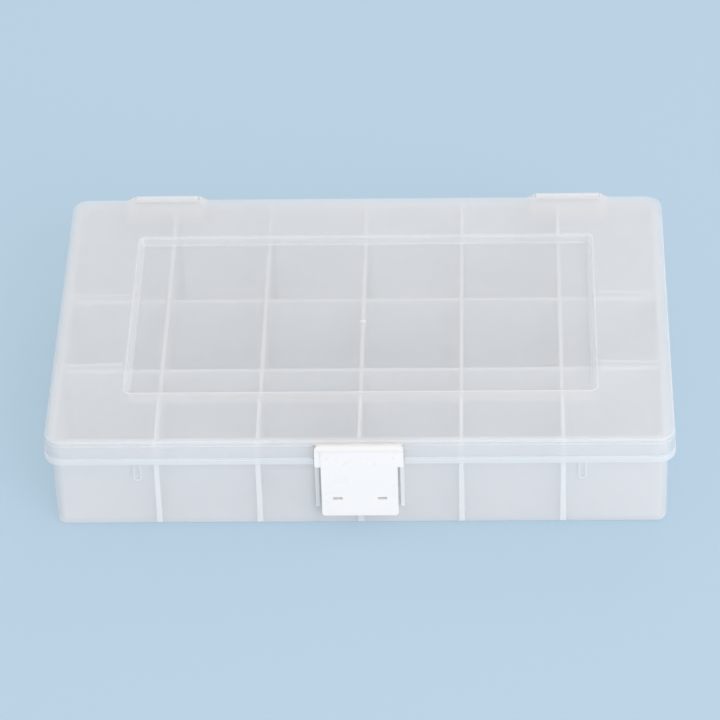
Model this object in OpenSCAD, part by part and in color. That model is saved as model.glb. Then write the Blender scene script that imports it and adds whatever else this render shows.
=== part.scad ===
// Flat compartment box for beads and small parts: a tray with moulded dividers, one hinged lid
// with a sunken panel, and a snap latch. Origin: centre of the tray's footprint, on the table.
// X runs to the right, Y to the hinges at the rear, Z up. Millimetres. Drawn closed.

/* [Lid] */
// Width of the lid, left to right
lid_w = 236.2; // [200:0.2:280]
// Depth of the lid, front to rear, without knuckles and latch
lid_d = 154.5; // [140:0.5:190]
// Height of the closed box
box_h = 42.5; // [38:0.5:60]
// Thickness of the lid's plate and skirt
lid_t = 1.5; // [1.2:0.1:1.8]
// Height of the lid's skirt, measured from the top of the box
skirt_h = 10.5; // [9.5:0.1:11.5]
// Height of the skirt at the rear, where it swings past the tray
rear_skirt_h = 8.1; // [7.5:0.1:8.6]
// Height of the lip along the lower edge of the skirt
lip_h = 2.4; // [1.5:0.1:3]
// How far the lip stands out from the skirt
lip_out = 0.3; // [0.2:0.05:0.5]
// Corner radius of the lid, seen from above
lid_corner_r = 6.6; // [6:0.1:12]
// Radius of the rounded top edge of the lid
lid_edge_r = 1.5; // [0.8:0.1:1.9]

/* [Sunken panel] */
// Width of the sunken panel at its rim
panel_w = 178.8; // [140:0.2:180]
// Depth of the sunken panel at its rim, front to rear
panel_d = 98.4; // [70:0.2:100]
// How far the panel's middle lies behind the middle of the lid
panel_back = 1.9; // [0:0.1:2.5]
// How far the panel's walls lean in from rim to foot
panel_lean = 1.1; // [0.2:0.1:1.6]
// How far the panel lies below the lid's rim
panel_sink = 3.5; // [2.5:0.1:4.5]
// Corner radius of the panel
panel_corner_r = 2.2; // [1.8:0.1:5]
// Radius of the gate mark in the middle of the panel
gate_r = 1.3; // [0.8:0.1:2]
// Height of the gate mark
gate_h = 0.3; // [0.2:0.05:0.6]

/* [Tray] */
// Thickness of the tray's walls
tray_wall = 1.6; // [1.2:0.1:2]
// Thickness of the floor
floor_t = 1.5; // [1.2:0.1:2.5]
// Gap between the lid's skirt and the tray's front and rear walls
skirt_gap = 1.5; // [1.4:0.1:2]
// Gap between the lid's skirt and the tray's side walls
side_gap = 1.1; // [0.8:0.1:2]
// Gap between the tray's rim and the underside of the closed lid
rim_gap = 0.3; // [0.2:0.05:0.5]
// Radius of the rounded bottom edge of the tray
tray_edge_r = 1.5; // [0.8:0.1:2.5]

/* [Dividers] */
// Thickness of a divider at its top
rib_top_t = 1.4; // [1:0.1:2]
// Thickness of a divider at the floor
rib_foot_t = 2.6; // [2:0.1:3.2]
// Gap between the dividers and the underside of the sunken panel
rib_gap = 0.4; // [0.3:0.05:0.8]
// Clear depth of the front row of compartments, between divider tops
front_row = 44.6; // [30:0.2:48]
// Clear depth of the middle row of compartments, between divider tops
middle_row = 42.2; // [30:0.2:46]
// Thickness of the raised tabs at the ends of the dividers
tab_t = 0.8; // [0.6:0.1:1]
// Gap between a tab and the wall of the sunken panel
tab_gap = 0.7; // [0.5:0.1:1.5]
// How much a tab falls from the panel to the tray's wall
tab_fall = 0.6; // [0.2:0.1:1]

/* [Hinges] */
// Distance of each hinge's middle from the middle of the box
hinge_x = 80.6; // [50:0.2:85]
// Length of a lid knuckle
knuckle_l = 25.2; // [16:0.2:30]
// Radius of the knuckles
knuckle_r = 3.0; // [2.8:0.1:3.1]
// Radius of the tray's hinge bars
bar_r = 1.5; // [1.2:0.1:1.6]
// Thickness of the brackets that hold the bars
bracket_t = 3.3; // [2.4:0.1:4]
// Height of the hinge axis below the top of the box
hinge_drop = 4.8; // [4.6:0.1:5.2]
// Gap between the rear skirt and the knuckles
hinge_gap = 0.2; // [0.1:0.05:0.4]
// Gap at each end of a knuckle
knuckle_side_gap = 0.3; // [0.2:0.05:0.6]
// Radial clearance of the hinges and of the latch on their bars
pin_clear = 0.08; // [0.04:0.01:0.1]

/* [Latch] */
// Width of the latch over its ears
ear_w = 33.4; // [30:0.2:40]
// Width of the latch's flap
flap_w = 28.8; // [24:0.2:31]
// Thickness of the latch
latch_t = 1.6; // [1.3:0.1:1.8]
// How far the latch stands in front of the lid's skirt
latch_proud = 1.4; // [1:0.1:1.6]
// Outer radius of the latch's rolled top edge
latch_roll_r = 2.0; // [1.9:0.05:2.1]
// Radius of the bar that the latch turns on
latch_bar_r = 1.1; // [0.9:0.05:1.2]
// Height of the flap's lower edge above the table
flap_low = 7.6; // [6:0.2:9]
// Height of the ears' lower end above the table
ear_low = 31; // [28:0.1:31.5]
// Width of each short slot in the flap
slot_w = 3.5; // [3:0.1:5]
// Height of each short slot in the flap
slot_h = 1.2; // [1:0.1:2]
// Distance of each short slot's middle from the middle of the latch
slot_x = 8.4; // [6:0.1:10]
// Height of the slots' lower edge above the table
slot_low = 15.4; // [13:0.1:16]
// How far the ears are set back from the flap's face
ear_step = 0.3; // [0.2:0.05:0.5]
// Radius of the latch's top corners, seen from the front
latch_corner_r = 1.8; // [1:0.1:2]
// Gap around the moving latch
latch_gap = 0.4; // [0.3:0.05:0.6]

/* [Catch] */
// Width of the catch ridge on the front wall
catch_w = 24; // [20:0.5:28]
// How far the catch ridge stands out from the front wall
catch_out = 1.5; // [1.2:0.1:1.7]
// How far the latch's teeth reach behind the catch ridge
bite = 0.25; // [0.1:0.05:0.3]
// Thickness of the guard ribs beside the flap
guard_t = 1.5; // [1:0.1:2]
// How far the guard ribs stand out from the front wall
guard_out = 1.7; // [1:0.1:2]
// Height of the guard ribs' lower end above the table
guard_low = 10; // [6:0.5:14]

/* [Guide marks] */
// Distance of each U-shaped rib from the middle of the box
guide_x = 83.6; // [40:0.2:95]
// Outer width of the U-shaped ribs
guide_w = 3.4; // [2.6:0.1:5]
// Height of the U-shaped ribs
guide_h = 8; // [5:0.2:10]
// Thickness of the U-shaped ribs' outline
guide_line = 0.9; // [0.6:0.1:1.1]
// How far the U-shaped ribs stand out from the front wall
guide_out = 0.6; // [0.4:0.1:1]

/* [Hidden] */
$fn = 64;
columns = 6;          // compartments side by side; one long divider between each two
sink = 0.25;          // how deep an added feature is rooted in the wall that carries it
over = 1;             // how far a cut runs past the faces it opens

// tray
tray_w = lid_w - 2 * (lid_t + side_gap);
tray_d = lid_d - 2 * (lid_t + skirt_gap);
tray_corner_r = lid_corner_r - lid_t - skirt_gap;
inner_w = tray_w - 2 * tray_wall;
inner_d = tray_d - 2 * tray_wall;
plate_low = box_h - lid_t;               // underside of the lid's plate
skirt_low = box_h - skirt_h;             // lower edge of the skirt
rear_low = box_h - rear_skirt_h;         // lower edge of the skirt at the rear
rear_from = lid_d / 2 - lid_corner_r - 1; // where the skirt steps up to the rear
tray_h = plate_low - rim_gap;
front_y = -tray_d / 2;                   // outer face of the front wall
rear_y = tray_d / 2;
inner_front = -inner_d / 2;

// panel and dividers
panel_top = box_h - panel_sink;
panel_low = panel_top - lid_t;
rib_h = panel_low - rib_gap;             // top of the dividers under the panel
tab_h = tray_h - 0.1;                    // top of the tabs next to the panel
pitch = (inner_w + rib_top_t) / columns;
cross_y = [inner_front + front_row + rib_top_t / 2,
           inner_front + front_row + middle_row + 1.5 * rib_top_t];
lap_z = (floor_t + rib_h) / 2;           // long dividers below, cross dividers above
tab_from_x = panel_w / 2 + lid_t + tab_gap;
tab_from_y = panel_d / 2 + lid_t + tab_gap;

// hinges
hinge_y = lid_d / 2 + knuckle_r + hinge_gap;
hinge_z = box_h - hinge_drop;
bracket_x = knuckle_l / 2 + knuckle_side_gap;
disc_r = knuckle_r - 0.1;

// latch
skirt_front = -lid_d / 2;
latch_face = skirt_front - latch_proud;
latch_back = latch_face + latch_t;
latch_y = latch_face + latch_roll_r;     // axis of the latch
notch_roof = lid_t + 0.1;                // what stays of the lid above the latch
latch_z = box_h - notch_roof - latch_gap + 0.1 - latch_roll_r;
notch_w = ear_w + 2 * latch_gap;
catch_tip = front_y - catch_out;
tooth_tip = catch_tip + bite;
tooth_z = slot_low - 1.1;                // middle of the teeth's tips
catch_z = tooth_z + 2.9;                 // lower edge of the ridge's tip
guard_x = flap_w / 2 + 1.6;
guard_high = skirt_low - latch_gap;
guide_low = skirt_low - 2 - guide_h;

// ---- outlines and helpers ------------------------------------------------------------------

// rectangle with round corners, centred
module round_rect(w, d, r) {
    union() {
        square([w - 2 * r, d], center = true);
        square([w, d - 2 * r], center = true);
        for (sx = [-1, 1], sy = [-1, 1])
            translate([sx * (w / 2 - r), sy * (d / 2 - r)]) circle(r);
    }
}

// upright section of a rim, r wide and h high, its lower outer edge rounded with radius e
module rim_section(r, h, e) {
    union() {
        translate([0, e]) square([r, h - e]);
        square([r - e, e + 0.01]);
        translate([r - e, e]) intersection() { circle(e); translate([0, -e]) square([e, e]); }
    }
}

// box with round corners and a rounded lower edge
module soft_box(w, d, h, r, e) {
    cw = w - 2 * r;
    cd = d - 2 * r;
    union() {
        translate([-cw / 2, -cd / 2, 0]) cube([cw, cd, h]);
        for (s = [0, 1]) mirror([s, 0, 0])
            translate([cw / 2, cd / 2, 0]) rotate([90, 0, 0])
                linear_extrude(cd) rim_section(r, h, e);
        for (s = [0, 1]) mirror([0, s, 0])
            translate([-cw / 2, cd / 2, 0]) rotate([90, 0, 90])
                linear_extrude(cw) rim_section(r, h, e);
        for (sx = [0, 1], sy = [0, 1]) mirror([sx, 0, 0]) mirror([0, sy, 0])
            translate([cw / 2, cd / 2, 0])
                rotate_extrude(angle = 90) rim_section(r, h, e);
    }
}

// draws its 2-D child, given in Y and Z, and stretches it along X about the middle
module along_x(l) {
    translate([-l / 2, 0, 0]) rotate([90, 0, 90]) linear_extrude(l) children();
}

// ---- tray ----------------------------------------------------------------------------------

module bracket_arm() {
    wall = rear_y - hinge_y - sink;
    top = rear_low - hinge_z - latch_gap;
    polygon([[wall, top - 10], [wall, top], [-0.8 * disc_r, top], [-0.8 * disc_r, -1.5],
             [0.7 * disc_r, -0.68 * disc_r]]);
}

// full-width gusset that ties the two arms of a bracket together
module bracket_web() {
    wall = rear_y - hinge_y - sink;
    top = rear_low - hinge_z - latch_gap;
    along_x(2 * bracket_x + 0.2)
        polygon([[wall, top - 9], [wall, top], [-1.25 * disc_r, top],
                 [-1.25 * disc_r, top - 1.6]]);
}

module hinge_bracket() {
    translate([bracket_x, 0, 0]) {
        translate([bracket_t / 2, 0, 0]) along_x(bracket_t) bracket_arm();
        rotate([0, 90, 0]) cylinder(h = bracket_t, r1 = disc_r, r2 = disc_r / 2);
    }
}

module tray_hinge() {
    for (s = [0, 1]) mirror([s, 0, 0]) hinge_bracket();
    bracket_web();
    rotate([0, 90, 0])
        cylinder(h = 2 * bracket_x + 1, r = bar_r, center = true);
}

module catch_ridge() {
    root = front_y + sink;
    along_x(catch_w)
        polygon([[root, catch_z - 2], [catch_tip, catch_z], [catch_tip, catch_z + 0.6],
                 [root, catch_z + 2.4]]);
}

module guide_rib() {
    r = guide_w / 2;
    translate([0, front_y + sink, guide_low]) rotate([90, 0, 0])
        linear_extrude(sink + guide_out) union() {
            difference() {
                translate([0, r]) circle(r);
                translate([0, r]) circle(r - guide_line);
                translate([-r - over, r]) square([2 * r + 2 * over, r + over]);
            }
            for (s = [-1, 1])
                translate([s * (r - guide_line / 2) - guide_line / 2, r])
                    square([guide_line, guide_h - r]);
        }
}

module tray() {
    color([0.86, 0.88, 0.90, 0.6]) union() {
        difference() {
            soft_box(tray_w, tray_d, tray_h, tray_corner_r, tray_edge_r);
            translate([0, 0, floor_t]) linear_extrude(tray_h)
                round_rect(inner_w, inner_d, tray_corner_r - tray_wall);
        }
        for (s = [-1, 1]) {
            translate([s * hinge_x, hinge_y, hinge_z]) tray_hinge();
            translate([s * guard_x - guard_t / 2, front_y - guard_out, guard_low])
                cube([guard_t, guard_out + sink, guard_high - guard_low]);
            translate([s * guide_x, 0, 0]) guide_rib();
        }
        catch_ridge();
    }
}

// ---- dividers ------------------------------------------------------------------------------

// section of a divider: thick at the floor, thin at the top
module rib_section() {
    polygon([[-rib_foot_t / 2, floor_t], [rib_foot_t / 2, floor_t],
             [rib_top_t / 2, rib_h], [-rib_top_t / 2, rib_h]]);
}

// raised tab, from `from` to the tray's wall at `to`
module tab_side(from, to) {
    polygon([[from, rib_h - 1], [to, rib_h - 1], [to, tab_h - tab_fall], [from, tab_h]]);
}

// divider along X with a tab at both ends, l long, its middle at Y = 0; the tabs clear a panel
// whose middle lies at X = panel_at
module rib(l, tab_from, panel_at = 0) {
    union() {
        along_x(l) rib_section();
        for (s = [0, 1]) mirror([s, 0, 0])
            translate([0, tab_t / 2, 0]) rotate([90, 0, 0]) linear_extrude(tab_t)
                tab_side(tab_from + (1 - 2 * s) * panel_at, l / 2);
    }
}

module long_rib(i) {
    translate([(i - columns / 2) * pitch, 0, 0]) rotate([0, 0, 90])
        rib(inner_d, tab_from_y, panel_back);
}

module cross_rib(j) {
    translate([0, cross_y[j], 0]) rib(inner_w, tab_from_x);
}

module half(z, h) {
    translate([-inner_w / 2, -inner_d / 2, z]) cube([inner_w, inner_d, h]);
}

// where two dividers cross, the long one fills the lower half and the cross one the upper half
module divider(i) {
    color([0.90, 0.92, 0.94, 0.6]) difference() {
        long_rib(i);
        for (j = [0, 1]) intersection() { cross_rib(j); half(lap_z, box_h); }
    }
}

module cross_divider(j) {
    color([0.90, 0.92, 0.94, 0.6]) difference() {
        cross_rib(j);
        for (i = [1:columns - 1]) intersection() { long_rib(i); half(0, lap_z); }
    }
}

// ---- lid -----------------------------------------------------------------------------------

module knuckle() {
    difference() {
        along_x(knuckle_l) union() {
            circle(knuckle_r);
            translate([-knuckle_r - hinge_gap - sink, 0.4])
                square([knuckle_r + hinge_gap + sink, knuckle_r - 0.4]);
        }
        rotate([0, 90, 0]) cylinder(h = knuckle_l + 2 * over, r = bar_r + pin_clear, center = true);
        along_x(knuckle_l + 2 * over) polygon([[0, 0], [-knuckle_r - over, 0],
            [-knuckle_r - over, -2 * knuckle_r], [knuckle_r, -2 * knuckle_r]]);
    }
}

// block that fills the sunken panel from z1 up to z2, `wall` larger all round; its sides lean
module panel_block(z1, z2, wall) {
    slope = panel_lean / panel_sink;
    r = panel_corner_r + wall;
    lean = slope * (box_h - wall - z1);   // inset at z1 from the outline at the rim
    grow = slope * (z2 - z1);
    x = panel_w / 2 + wall - r;
    y = panel_d / 2 + wall - r;
    translate([0, panel_back, z1]) hull()
        for (sx = [-1, 1], sy = [-1, 1]) translate([sx * x, sy * y, 0])
            cylinder(h = z2 - z1, r1 = r - lean, r2 = r - lean + grow, $fn = 32);
}

// lip along the lower edge of the skirt, at the front and the sides
module skirt_lip() {
    translate([0, 0, skirt_low]) linear_extrude(lip_h) intersection() {
        difference() {
            round_rect(lid_w + 2 * lip_out, lid_d + 2 * lip_out, lid_corner_r + lip_out);
            round_rect(lid_w - lid_t, lid_d - lid_t, lid_corner_r - lid_t / 2);
        }
        translate([-lid_w, -lid_d]) square([2 * lid_w, lid_d + rear_from]);
    }
}

module latch_notch() {
    back = latch_y + latch_roll_r + 0.3;
    translate([-notch_w / 2, skirt_front - over, skirt_low - over])
        cube([notch_w, back - skirt_front + over, box_h - notch_roof - skirt_low + over]);
}

module lid() {
    color([0.86, 0.89, 0.92, 0.5]) union() {
        difference() {
            union() {
                difference() {
                    translate([0, 0, box_h]) mirror([0, 0, 1])
                        soft_box(lid_w, lid_d, skirt_h, lid_corner_r, lid_edge_r);
                    translate([0, 0, plate_low - skirt_h]) linear_extrude(skirt_h)
                        round_rect(lid_w - 2 * lid_t, lid_d - 2 * lid_t, lid_corner_r - lid_t);
                }
                skirt_lip();
                panel_block(panel_low, plate_low + 0.1, lid_t);
            }
            panel_block(panel_top, box_h + over, 0);
            latch_notch();
            translate([-lid_w, rear_from, skirt_low - over])
                cube([2 * lid_w, lid_d, rear_low - skirt_low + over]);
        }
        translate([0, 0, panel_top - sink]) cylinder(h = gate_h + sink, r = gate_r);
        for (s = [-1, 1]) translate([s * hinge_x, hinge_y, hinge_z]) knuckle();
        translate([0, latch_y, latch_z]) rotate([0, 90, 0])
            cylinder(h = notch_w + 2 * lid_t, r = latch_bar_r, center = true);
    }
}

// ---- latch ---------------------------------------------------------------------------------

module latch_plate() {
    r = 1.2;            // corner radius of the flap
    e = 0.7;            // corner radius of the ears
    // front outline in X and Z, extruded through the thickness
    translate([0, latch_back, 0]) rotate([90, 0, 0]) linear_extrude(latch_t) union() {
        translate([-ear_w / 2, ear_low + e]) square([ear_w, latch_z - ear_low - e]);
        translate([-ear_w / 2 + e, ear_low]) square([ear_w - 2 * e, e + 0.1]);
        for (s = [-1, 1]) translate([s * (ear_w / 2 - e), ear_low + e]) circle(e);
        translate([-flap_w / 2, flap_low + r]) square([flap_w, ear_low - flap_low - r + 0.1]);
        translate([-flap_w / 2 + r, flap_low]) square([flap_w - 2 * r, r + 0.1]);
        for (s = [-1, 1]) translate([s * (flap_w / 2 - r), flap_low + r]) circle(r);
    }
}

// rolled top edge: a ring round the bar, open towards the tray
module latch_roll() {
    translate([0, latch_y, latch_z]) difference() {
        rotate([0, 90, 0]) cylinder(h = ear_w, r = latch_roll_r, center = true);
        along_x(ear_w + 2 * over)
            polygon([[0, 0], [3 * latch_roll_r, 0.5], [3 * latch_roll_r, -3 * latch_roll_r],
                     [-0.4, -3 * latch_roll_r]]);
    }
}

// front view of the latch with round top corners
module latch_corners() {
    top = latch_z + latch_roll_r;
    r = latch_corner_r;
    translate([0, latch_y + 2 * latch_roll_r, 0]) rotate([90, 0, 0])
        linear_extrude(4 * latch_roll_r) union() {
            translate([-ear_w / 2 - over, flap_low - over])
                square([ear_w + 2 * over, top - r - flap_low + over]);
            translate([-ear_w / 2 + r, top - r - 0.1]) square([ear_w - 2 * r, r + over]);
            for (s = [-1, 1]) translate([s * (ear_w / 2 - r), top - r]) circle(r);
        }
}

module tooth() {
    root = latch_back - sink;
    along_x(slot_w)
        polygon([[root, tooth_z - 1.5], [tooth_tip, tooth_z - 0.3], [tooth_tip, tooth_z + 0.3],
                 [root, slot_low]]);
}

module latch() {
    arch_r = 9.3;       // radius of the shallow arched groove on the front
    arch_w = 12.5;      // its width
    arch_rise = 2.4;    // its height
    groove = 0.25;      // depth of the marks on the front
    color([0.98, 0.985, 0.99]) union() {
        difference() {
            intersection() {
                union() {
                    latch_plate();
                    latch_roll();
                }
                latch_corners();
            }
            translate([0, latch_y, latch_z]) rotate([0, 90, 0])
                cylinder(h = ear_w + 2 * over, r = latch_bar_r + pin_clear, center = true);
            // the ears' faces, set back from the flap
            for (s = [0, 1]) mirror([s, 0, 0])
                translate([flap_w / 2, latch_face - over, ear_low - over])
                    cube([ear_w, over + ear_step, latch_z - ear_low + over]);
            // short slots above the teeth
            for (s = [-1, 1]) translate([s * slot_x - slot_w / 2, latch_face - over, slot_low])
                cube([slot_w, latch_t + 2 * over, slot_h]);
            // shallow line that joins the slots
            translate([-slot_x, latch_face - over, slot_low + 0.3])
                cube([2 * slot_x, over + 0.15, 0.5]);
            // two round dimples
            for (s = [-1, 1]) translate([s * 12.4, latch_face - over, latch_z - 3])
                rotate([-90, 0, 0]) cylinder(h = over + groove, r = 0.45);
            // arched groove
            translate([0, latch_face + groove, latch_z - 3.4 - arch_r]) rotate([90, 0, 0])
                linear_extrude(over) intersection() {
                    difference() { circle(arch_r); circle(arch_r - 0.7); }
                    translate([-arch_w / 2, arch_r - arch_rise - 0.7]) square([arch_w, 4]);
                }
        }
        for (s = [-1, 1]) translate([s * slot_x, 0, 0]) tooth();
    }
}

tray();
divider(1);  // divider_1
divider(2);  // divider_2
divider(3);  // divider_3
divider(4);  // divider_4
divider(5);  // divider_5
cross_divider(0);  // cross_divider_front
cross_divider(1);  // cross_divider_rear
lid();
latch();
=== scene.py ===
import bpy
from mathutils import Matrix, Vector


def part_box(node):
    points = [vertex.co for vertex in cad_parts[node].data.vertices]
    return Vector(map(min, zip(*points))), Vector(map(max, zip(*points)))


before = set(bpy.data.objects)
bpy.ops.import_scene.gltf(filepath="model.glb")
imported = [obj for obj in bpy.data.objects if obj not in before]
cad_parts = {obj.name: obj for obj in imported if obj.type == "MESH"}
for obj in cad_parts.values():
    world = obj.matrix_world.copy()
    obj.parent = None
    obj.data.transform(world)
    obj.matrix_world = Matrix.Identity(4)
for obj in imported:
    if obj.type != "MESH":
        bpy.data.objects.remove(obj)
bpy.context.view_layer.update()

# ---- Tray ---------------------------------------------------------------------------------------
# An open tray, injection moulded in natural polypropylene from a satin-etched mould. It is frosted
# rather than clear: each wall passes part of the light straight on and scatters the rest. Where a
# divider runs into a wall the plastic is deeper, and shows outside as a whiter line.
TRAY_MILK = (0.94, 0.925, 0.925)
TRAY_WHITE = (0.975, 0.96, 0.955)
TRAY_VEIL = 0.52
FULL_VEIL = 0.95
VEIL_CLOUD = 0.06
COLOUR_CLOUD = 0.96
CLOUD_SCALE = 22.0
SCATTERED_THROUGH = 0.35
PLASTIC_IOR = 1.49
BOX_ROUGHNESS = 0.30
BOX_ROUGHNESS_CLOUD = 0.10
GRAIN_SCALE = 2200.0
BOX_GRAIN = 0.25
BOX_GRAIN_DEPTH = 0.00002
CLEAR = (1, 1, 1, 1)
NO_LIGHT = (0, 0, 0, 1)
# Painted light: the colour and strength of an emission glow on thin edges and walls, though no
# lamp is there.
PAINTED_EDGE_GLOW = (0.20, 0.21, 0.22, 1)
PAINTED_EDGE_GLOW_STRENGTH = 1.0


class Wire:
    """One socket of a material. Sums on it add their Math nodes to the same material."""

    def __init__(self, tree, socket):
        self.tree = tree
        self.socket = socket

    def node(self, kind, settings=None, out=0, **sockets):
        """A new node. A socket is given by its name, or as _ and its number."""
        new = self.tree.nodes.new(kind)
        for name, value in (settings or {}).items():
            setattr(new, name, value)
        for name, value in sockets.items():
            key = int(name[1:]) if name[0] == "_" else name.replace("_", " ")
            if isinstance(value, Wire):
                self.tree.links.new(value.socket, new.inputs[key])
            else:
                new.inputs[key].default_value = value
        return Wire(self.tree, new.outputs[out])

    def maths(self, operation, a, b=0.0):
        return self.node("ShaderNodeMath", {"operation": operation}, _0=a, _1=b)

    def __add__(self, other):
        return self.maths("ADD", self, other)

    def __mul__(self, other):
        return self.maths("MULTIPLY", self, other)

    def __sub__(self, other):
        return self.maths("SUBTRACT", self, other)

    def __rsub__(self, other):
        return self.maths("SUBTRACT", other, self)

    __radd__ = __add__
    __rmul__ = __mul__

    def axis(self, index):
        return self.node("ShaderNodeSeparateXYZ", out=index, Vector=self)

    def size(self):
        return self.maths("ABSOLUTE", self)

    def ramp(self, low, high):
        """0 below low and 1 above high, or the other way round where low is the larger."""
        return self.node("ShaderNodeMapRange", {"interpolation_type": "SMOOTHSTEP"},
                         Value=self, From_Min=low, From_Max=high)

    def band(self, at, half, soft):
        """1 within half of the value at, fading to 0 over the width soft."""
        return (self - at).size().ramp(half + soft, half)

    def either(self, other):
        return self.maths("MAXIMUM", self, other)

    def outline(self, low, high, radius):
        """Distance of a place from a rectangle with round corners, seen from above, and
        negative inside it."""
        past = [(self.axis(i) - (low[i] + high[i]) / 2).size() - ((high[i] - low[i]) / 2 - radius)
                for i in (0, 1)]
        square = [self.maths("POWER", p.maths("MAXIMUM", p, 0.0), 2.0) for p in past]
        inside = self.maths("MINIMUM", past[0].either(past[1]), 0.0)
        return self.maths("SQRT", square[0] + square[1]) + inside - radius

    def noise(self, scale, detail=2.0):
        return self.node("ShaderNodeTexNoise", Vector=self, Scale=scale, Detail=detail)

    def blend(self, one, two):
        return self.node("ShaderNodeMix", {"data_type": "RGBA"}, out=2, _0=self, _6=one, _7=two)

    def show(self):
        """Makes this shader the surface of its material."""
        output = self.tree.nodes.new("ShaderNodeOutputMaterial")
        self.tree.links.new(self.socket, output.inputs["Surface"])


def blank_finish(name):
    """A material without nodes, and its node tree."""
    material = bpy.data.materials.new(name)
    material.use_nodes = True
    material.node_tree.nodes.clear()
    return material, material.node_tree


def frosted(name, milk, white, veil, glow, painted_glow=None):
    """Frosted polypropylene. veil is the share of light that a face keeps from going straight
    on, and glow gives a mask of where the plastic is deep or ends in an edge, and of painted
    highlights. The last argument gives a mask of faces that glow with painted light, as emission."""
    material, tree = blank_finish(name)
    coords = tree.nodes.new("ShaderNodeTexCoord")
    place = Wire(tree, coords.outputs["Object"])
    normal = Wire(tree, coords.outputs["Normal"])
    bright = glow(place, normal)
    cloud = place.noise(CLOUD_SCALE)
    dull = tuple(COLOUR_CLOUD * c for c in milk) + (1,)
    colour = bright.blend(cloud.blend(dull, milk + (1,)), white + (1,))
    grain = place.node("ShaderNodeBump", Strength=BOX_GRAIN, Distance=BOX_GRAIN_DEPTH,
                       Height=place.noise(GRAIN_SCALE))
    skin = place.node("ShaderNodeBsdfPrincipled", Base_Color=colour, IOR=PLASTIC_IOR,
                      Roughness=BOX_ROUGHNESS + BOX_ROUGHNESS_CLOUD * cloud, Normal=grain)
    # Painted light: the masked faces glow as emission.
    if painted_glow:
        painted_glow_colour = painted_glow(place, normal).blend(NO_LIGHT, PAINTED_EDGE_GLOW)
        skin_inputs = skin.socket.node.inputs
        tree.links.new(painted_glow_colour.socket, skin_inputs["Emission Color"])
        skin_inputs["Emission Strength"].default_value = PAINTED_EDGE_GLOW_STRENGTH
    inner = place.node("ShaderNodeBsdfTranslucent", Color=colour)
    milky = place.node("ShaderNodeMixShader", Fac=SCATTERED_THROUGH, _1=skin, _2=inner)
    clear = place.node("ShaderNodeBsdfTransparent", Color=CLEAR)
    kept = veil + (FULL_VEIL - veil) * bright + VEIL_CLOUD * (cloud - 0.5)
    place.node("ShaderNodeMixShader", Fac=kept, _1=clear, _2=milky).show()
    return material


def dress(node, material):
    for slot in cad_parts[node].material_slots:
        slot.material = material


def middle(node, axis):
    low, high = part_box(node)
    return (low[axis] + high[axis]) / 2


# Where the tray looks whiter. Of a pair, the first is where the white starts and the second where
# it is full: metres for a FADE or a RISE, and a part of the normal for a FACING.
LONG_RIBS = ["divider_%d" % (i + 1) for i in range(5)]
CROSS_RIBS = ["cross_divider_front", "cross_divider_rear"]
RIB_HEIGHT = 0.0371
LINE_TOP_HALF = 0.0006
LINE_FOOT_HALF = 0.0009
LINE_FADE = (0.0005, 0.0)
RIM_HEIGHT = 0.0407
RIM_RISE = (RIM_HEIGHT - 0.0007, RIM_HEIGHT - 0.0002)
RIM_WHITE = 0.4
WALL_FRONT = -0.07425
MARK_FADE = (WALL_FRONT - 0.0001, WALL_FRONT - 0.0004)
MARK_WHITE = 0.2
# Beside the latch the raised marks are made much whiter, as painted light against the latch's
# shadow.
LATCH_MARK_FADE = (0.020, 0.018)
LATCH_MARK_PAINTED_LIGHT = 0.65
WALL_REAR = 0.07425
HINGE_X = 0.0806
HINGE_FADE = (0.0180, 0.0130)
HINGE_WALL_FADE = (WALL_REAR - 0.0020, WALL_REAR - 0.0016)
HINGE_WALL_RISE = (0.0320, 0.0345)
HINGE_WALL_WHITE = 0.8
FLOOR_FACING = (0.8, 0.95)
FLOOR_FADE = (0.0030, 0.0016)
FLOOR_WHITE = 0.5


def at_hinge(place):
    """1 across the width of either hinge, whose brackets make the walls there deeper."""
    return (place.axis(0).size() - HINGE_X).size().ramp(*HINGE_FADE)


def tray_glow(place, normal):
    """The rim, the lines where dividers run into walls, the raised marks on the front wall, with
    painted light on those beside the latch, the rear wall at the hinges, and the floor."""
    z = place.axis(2)
    half = LINE_FOOT_HALF - (LINE_FOOT_HALF - LINE_TOP_HALF) / RIB_HEIGHT * z
    glow = RIM_WHITE * z.ramp(*RIM_RISE)
    for axis, ribs in ((0, LONG_RIBS), (1, CROSS_RIBS)):
        for rib in ribs:
            off = (place.axis(axis) - middle(rib, axis)).size() - half
            glow = glow.either(off.ramp(*LINE_FADE))
    # Painted light: the marks beside the latch are whitened to lift the latch's shadow from them.
    by_latch = place.axis(0).size().ramp(*LATCH_MARK_FADE)
    marks = (MARK_WHITE + LATCH_MARK_PAINTED_LIGHT * by_latch) * place.axis(1).ramp(*MARK_FADE)
    hinge_wall = at_hinge(place) * place.axis(1).ramp(*HINGE_WALL_FADE)
    hinge_wall = hinge_wall * z.ramp(*HINGE_WALL_RISE)
    floor = normal.axis(2).size().ramp(*FLOOR_FACING) * z.ramp(*FLOOR_FADE)
    glow = glow.either(marks).either(HINGE_WALL_WHITE * hinge_wall)
    return glow.either(FLOOR_WHITE * floor)


dress("tray", frosted("tray_frosted", TRAY_MILK, TRAY_WHITE, TRAY_VEIL, tray_glow))

# ---- Dividers -----------------------------------------------------------------------------------
# Five long ribs moulded with the tray, thicker at the foot than at the top. Their tops lie just
# under the lid, so that they show through it as crisp white lines, and beside the lid's sunken
# panel each rises in a thin tab.
RIB_MILK = (0.945, 0.97, 0.99)
RIB_WHITE = (0.97, 0.98, 0.99)
RIB_VEIL = 0.65
UP_FACING = (0.3, 0.8)
SHOULDER_HALF = 0.0004
SHOULDER_SOFT = 0.0004
TAB_RISE = (RIB_HEIGHT + 0.0004, RIB_HEIGHT + 0.0008)
TAB_SIDE_FACING = (0.6, 0.2)
TAB_SIDE_CLEARER = 0.8
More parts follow.
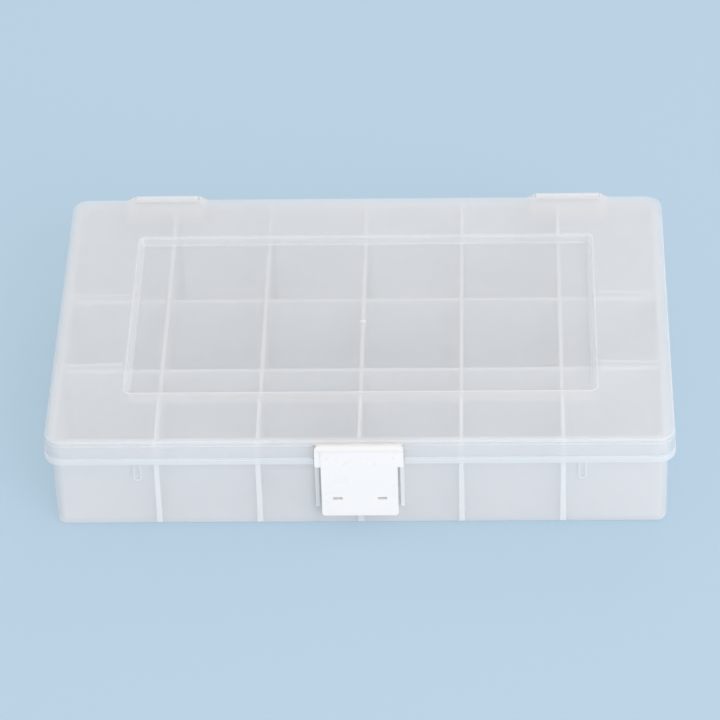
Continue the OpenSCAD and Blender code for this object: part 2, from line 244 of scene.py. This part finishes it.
# Painted light: the tabs and the ribs' ledges beside the lid's panel glow as emission.
TAB_PAINTED_GLOW_RISE = (RIB_HEIGHT + 0.0001, RIB_HEIGHT + 0.0004)
TAB_PAINTED_GLOW = 0.5
TAB_END_FACING = (0.5, 0.9)
TAB_END_SHARE = 0.5
PANEL_LOW = Vector((-0.0894, -0.0473))
PANEL_HIGH = Vector((0.0894, 0.0511))
PANEL_CORNER = 0.0022
BESIDE_PANEL = (0.0010, 0.0020)
LEDGE_HEIGHT = RIB_HEIGHT - 0.0001
LEDGE_HALF = 0.0004
LEDGE_SOFT = 0.0003
LEDGE_PAINTED_GLOW = 0.45


def rib_glow(place, normal):
    """The top and its shoulders. The upright faces of the tabs are clearer."""
    z = place.axis(2)
    shoulder = z.band(RIB_HEIGHT, SHOULDER_HALF, SHOULDER_SOFT)
    tab_sides = z.ramp(*TAB_RISE) * normal.axis(2).ramp(*TAB_SIDE_FACING)
    return normal.axis(2).ramp(*UP_FACING).either(shoulder) - TAB_SIDE_CLEARER * tab_sides


def rib_painted_glow(place, normal):
    """Where the ribs glow with painted light: the top and the x faces of the tabs, and the rib's
    ledge beside the panel.
    """
    z = place.axis(2)
    ends = TAB_END_SHARE * normal.axis(0).size().ramp(*TAB_END_FACING)
    tab = normal.axis(2).ramp(*UP_FACING).either(ends) * z.ramp(*TAB_PAINTED_GLOW_RISE)
    beside = place.outline(PANEL_LOW, PANEL_HIGH, PANEL_CORNER).ramp(*BESIDE_PANEL)
    ledge = z.band(LEDGE_HEIGHT, LEDGE_HALF, LEDGE_SOFT) * beside
    return (TAB_PAINTED_GLOW * tab).either(LEDGE_PAINTED_GLOW * ledge)


rib_finish = frosted("divider_frosted", RIB_MILK, RIB_WHITE, RIB_VEIL, rib_glow, rib_painted_glow)
for rib in LONG_RIBS:
    dress(rib, rib_finish)

# ---- Cross dividers -----------------------------------------------------------------------------
# Two ribs of the same plastic along the length of the tray, one behind the front row and one in
# front of the rear row. They cross the long ribs at one height.
for rib in CROSS_RIBS:
    dress(rib, rib_finish)

# ---- Lid ----------------------------------------------------------------------------------------
# One moulding of the same polypropylene with a sunken panel, a skirt round the tray's rim and the
# hinge barrels, clearer than the tray. The panel's short walls are whiter, partly for their deeper
# plastic and partly as painted light, and its long walls a little clearer as painted shade. The
# panel's rim and foot and the lid's edges carry painted highlight lines, stronger towards the
# front.
# The lip at the skirt's foot and the barrels look whiter than the flat of the lid, and the skirt a
# little clearer.
LID_MILK = (0.93, 0.93, 0.945)
LID_WHITE = (0.95, 0.96, 0.98)
LID_VEIL = 0.40

LID_LOW = Vector((-0.1181, -0.07725))
LID_HIGH = Vector((0.1181, 0.07725))
LID_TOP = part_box("lid")[1][2]
LID_CORNER = 0.0066
UPRIGHT_FACING = (0.85, 0.4)

PANEL_FOOT = LID_TOP - 0.0035
PANEL_LEAN = 0.0011
WITHIN_PANEL = (0.0030, 0.0020)
# The lines along the panel's rim and foot are painted highlights.
PANEL_RIM_HALF = 0.0004
PANEL_FOOT_HALF = 0.0003
PANEL_SOFT = 0.0006
PANEL_RIM_RISE = (LID_TOP - 0.0012, LID_TOP - 0.0005)
PANEL_RIM_HIGHLIGHT = 0.32
PANEL_FOOT_FADE = (PANEL_FOOT + 0.0009, PANEL_FOOT + 0.0003)
PANEL_FOOT_HIGHLIGHT = 0.25
# The short walls are whiter, partly for deeper plastic and partly as painted light; the long walls
# are a little clearer, as painted shade.
SHORT_WALL_FACING = (0.3, 0.7)
SHORT_WALL_WHITE_AND_LIGHT = 0.40
LONG_WALL_PAINTED_SHADE = 0.05
# Painted light: an emission glow on the panel's short walls, far stronger on the right wall than
# on the left.
RIGHT_WALL_FACING = (-0.3, -0.7)
RIGHT_WALL_PAINTED_GLOW = 0.7
LEFT_WALL_PAINTED_GLOW = 0.15

OUTER_FADE = (-0.0009, -0.0004)
# The lines along the lid's top edge, under it and along the skirt's lip are painted highlights,
# stronger towards the front.
FRONT_FADE = (-0.068, -0.075)
FRONT_SHARE = 0.5
TOP_LINE_IN = 0.0005
TOP_LINE_HALF = 0.0003
TOP_LINE_SOFT = 0.0004
TOP_LINE_RISE = (LID_TOP - 0.0011, LID_TOP - 0.0007)
TOP_LINE_HIGHLIGHT = 0.25
UNDER_LINE_HEIGHT = LID_TOP - 0.0018
UNDER_LINE_HALF = 0.0002
UNDER_LINE_SOFT = 0.0005
UNDER_LINE_HIGHLIGHT = 0.35
LIP_TOP = 0.0344
LIP_LINE_HEIGHT = LIP_TOP - 0.0002
LIP_LINE_HALF = 0.0003
LIP_LINE_SOFT = 0.0006
LIP_LINE_HIGHLIGHT = 0.40
LIP_FADE = (LIP_TOP + 0.0003, LIP_TOP)
LIP_WHITE = 0.3
SKIRT_RISE = (LIP_TOP + 0.0003, LIP_TOP + 0.0010)
SKIRT_CLEARER = 0.32

GATE_FADE = (0.0014, 0.0010)
GATE_WHITE = 0.45
BARREL_FADE = (LID_HIGH[1] + 0.0001, LID_HIGH[1] + 0.0006)
BARREL_WHITE = 0.9
HINGE_HAZE_FADE = (0.0580, 0.0700)
HINGE_HAZE_WHITE = 0.13


def lid_glow(place, normal):
    y = place.axis(1)
    z = place.axis(2)
    upright = normal.axis(2).size().ramp(*UPRIGHT_FACING)

    panel = place.outline(PANEL_LOW, PANEL_HIGH, PANEL_CORNER)
    # Painted light and shade: the panel's short walls are whiter, partly for the deeper plastic
    # seen edge on and partly as painted light; its long walls are a little clearer and less white,
    # as painted shade.
    short_wall = normal.axis(0).size().ramp(*SHORT_WALL_FACING)
    panel_wall = upright * panel.ramp(*WITHIN_PANEL)
    panel_wall = panel_wall * (SHORT_WALL_WHITE_AND_LIGHT * short_wall - LONG_WALL_PAINTED_SHADE)
    # Painted highlights: thin white lines along the panel's rim and foot.
    panel_rim = panel.band(0.0, PANEL_RIM_HALF, PANEL_SOFT) * z.ramp(*PANEL_RIM_RISE)
    panel_foot = panel.band(-PANEL_LEAN, PANEL_FOOT_HALF, PANEL_SOFT) * z.ramp(*PANEL_FOOT_FADE)
    glow = panel_wall.either(PANEL_RIM_HIGHLIGHT * panel_rim).either(PANEL_FOOT_HIGHLIGHT * panel_foot)

    edge = place.outline(LID_LOW, LID_HIGH, LID_CORNER)
    outer = edge.ramp(*OUTER_FADE)
    # Painted highlights: thin white lines along the lid's edges, stronger towards the front.
    front = FRONT_SHARE + (1 - FRONT_SHARE) * y.ramp(*FRONT_FADE)
    top_line = edge.band(-TOP_LINE_IN, TOP_LINE_HALF, TOP_LINE_SOFT) * z.ramp(*TOP_LINE_RISE)
    under_line = z.band(UNDER_LINE_HEIGHT, UNDER_LINE_HALF, UNDER_LINE_SOFT) * outer
    lip_line = z.band(LIP_LINE_HEIGHT, LIP_LINE_HALF, LIP_LINE_SOFT) * outer
    lip = z.ramp(*LIP_FADE) * outer
    glow = glow.either(top_line * front * TOP_LINE_HIGHLIGHT)
    glow = glow.either(under_line * front * UNDER_LINE_HIGHLIGHT)
    glow = glow.either(LIP_LINE_HIGHLIGHT * lip_line).either(LIP_WHITE * lip)

    gate = place.outline((0, 0), (0, 0), 0).ramp(*GATE_FADE)
    barrels = y.ramp(*BARREL_FADE)
    hinge_haze = at_hinge(place) * y.ramp(*HINGE_HAZE_FADE)
    glow = glow.either(GATE_WHITE * gate).either(BARREL_WHITE * barrels)
    glow = glow.either(HINGE_HAZE_WHITE * hinge_haze)
    return glow - SKIRT_CLEARER * upright * outer * z.ramp(*SKIRT_RISE)


def panel_wall_painted_glow(place, normal):
    """The panel's short walls, which glow with painted light as emission, the right wall far more
    than the left.
    """
    x = normal.axis(0)
    right_wall = RIGHT_WALL_PAINTED_GLOW * x.ramp(*RIGHT_WALL_FACING)
    left_wall = LEFT_WALL_PAINTED_GLOW * x.ramp(*SHORT_WALL_FACING)
    panel = place.outline(PANEL_LOW, PANEL_HIGH, PANEL_CORNER).ramp(*WITHIN_PANEL)
    return panel * right_wall.either(left_wall)


dress("lid", frosted("lid_frosted", LID_MILK, LID_WHITE, LID_VEIL, lid_glow, panel_wall_painted_glow))

# ---- Latch --------------------------------------------------------------------------------------
# A snap latch moulded apart in opaque white polypropylene, clipped on to a bar at the front of the
# lid. Its face is polished more than the box. Its rolled top faces the lamps, so its white is
# taken down.
LATCH_FACE_DULL = (0.945, 0.902, 0.880, 1)
LATCH_FACE = (0.950, 0.907, 0.885, 1)
LATCH_ROLL = (0.835, 0.812, 0.798, 1)
LATCH_ROLL_RISE = (0.0375, 0.0396)
LATCH_CLOUD_SCALE = 60
LATCH_ROUGHNESS = 0.24
LATCH_ROUGHNESS_CLOUD = 0.08
LATCH_GRAIN = 0.1
LATCH_GRAIN_DEPTH = 0.00001
LATCH_SCATTERED_THROUGH = 0.08

latch_finish, tree = blank_finish("latch_white")
place = Wire(tree, tree.nodes.new("ShaderNodeTexCoord").outputs["Object"])
cloud = place.noise(LATCH_CLOUD_SCALE)
face = cloud.blend(LATCH_FACE_DULL, LATCH_FACE)
white = place.axis(2).ramp(*LATCH_ROLL_RISE).blend(face, LATCH_ROLL)
grain = place.node("ShaderNodeBump", Strength=LATCH_GRAIN, Distance=LATCH_GRAIN_DEPTH,
                   Height=place.noise(GRAIN_SCALE))
skin = place.node("ShaderNodeBsdfPrincipled", Base_Color=white, IOR=PLASTIC_IOR,
                  Roughness=LATCH_ROUGHNESS + LATCH_ROUGHNESS_CLOUD * cloud, Normal=grain)
inner = place.node("ShaderNodeBsdfTranslucent", Color=white)
place.node("ShaderNodeMixShader", Fac=LATCH_SCATTERED_THROUGH, _1=skin, _2=inner).show()
dress("latch", latch_finish)

# ---- Sheet under the box ------------------------------------------------------------------------
# A plain pale blue sheet that the box stands on. It reaches past the picture on every side, and
# shows part of its colour as its own light, so that it looks even.
SHEET_BLUE = (0.475, 0.625, 0.748, 1)
SHEET_ROUGHNESS = 0.9
SHEET_HALF = 3.0
SHEET_GAP = 0.0004
SHEET_OWN_TONE = 0.65
corners = [(-SHEET_HALF, -SHEET_HALF, 0), (SHEET_HALF, -SHEET_HALF, 0),
           (SHEET_HALF, SHEET_HALF, 0), (-SHEET_HALF, SHEET_HALF, 0)]
mesh = bpy.data.meshes.new("blue_sheet")
mesh.from_pydata(corners, [], [(0, 1, 2, 3)])
sheet = bpy.data.objects.new("blue_sheet", mesh)
sheet.location = (0, 0, -SHEET_GAP)
bpy.context.collection.objects.link(sheet)
sheet_finish, tree = blank_finish("blue_sheet")
rays = tree.nodes.new("ShaderNodeLightPath").outputs
seen = Wire(tree, rays["Is Camera Ray"])
seen = seen.either(Wire(tree, rays["Is Glossy Ray"]))
seen = seen.either(Wire(tree, rays["Is Transmission Ray"]))
paper = seen.node("ShaderNodeBsdfPrincipled", Base_Color=SHEET_BLUE, Roughness=SHEET_ROUGHNESS)
even = seen.node("ShaderNodeEmission", Color=SHEET_BLUE, Strength=1.0)
seen.node("ShaderNodeMixShader", Fac=SHEET_OWN_TONE * seen, _1=paper, _2=even).show()
mesh.materials.append(sheet_finish)

# ---- Studio light -------------------------------------------------------------------------------
# An even white room and two wide soft lamps: one in front of the box, to the right and above, and
# one behind it that leaves a faint sheen on the flat of the lid.
ROOM_WHITE = (1, 1, 1, 1)
ROOM_LIGHT = 0.83
LAMPS = {  # spot and width in metres, power in watts
    "front_lamp": (Vector((0.85, -1.40, 0.95)), 1.3, 19),
    "rear_lamp": (Vector((0.45, 1.45, 1.30)), 1.0, 3.0),
}
world = bpy.data.worlds.new("studio")
bpy.context.scene.world = world
world.use_nodes = True
room = world.node_tree.nodes["Background"].inputs
room["Color"].default_value = ROOM_WHITE
room["Strength"].default_value = ROOM_LIGHT
for name, (spot, width, power) in LAMPS.items():
    lamp = bpy.data.objects.new(name, bpy.data.lights.new(name, "AREA"))
    lamp.data.shape = "SQUARE"
    lamp.data.size = width
    lamp.data.energy = power
    lamp.location = spot
    lamp.rotation_euler = (-spot).to_track_quat("-Z", "Y").to_euler()
    bpy.context.collection.objects.link(lamp)

# ---- Camera -------------------------------------------------------------------------------------
# A long lens in front of the box and well above it, a little to the right of its middle.
LENS_MM = 204.08
SENSOR_MM = 36
EYE = Vector((0.051336, -1.248724, 1.009055))
AHEAD = Vector((-0.03324605, 0.78349566, -0.62050726))
UP = Vector((0.00656334, 0.62100823, 0.78377656))
camera = bpy.data.objects.new("camera", bpy.data.cameras.new("camera"))
camera.data.sensor_width = SENSOR_MM
camera.data.lens = LENS_MM
right = AHEAD.cross(UP).normalized()
up = right.cross(AHEAD).normalized()
turn = Matrix((right, up, -AHEAD.normalized())).transposed()
camera.matrix_world = Matrix.Translation(EYE) @ turn.to_4x4()
bpy.context.collection.objects.link(camera)
bpy.context.scene.camera = camera
bpy.context.scene.view_settings.view_transform = "Standard"
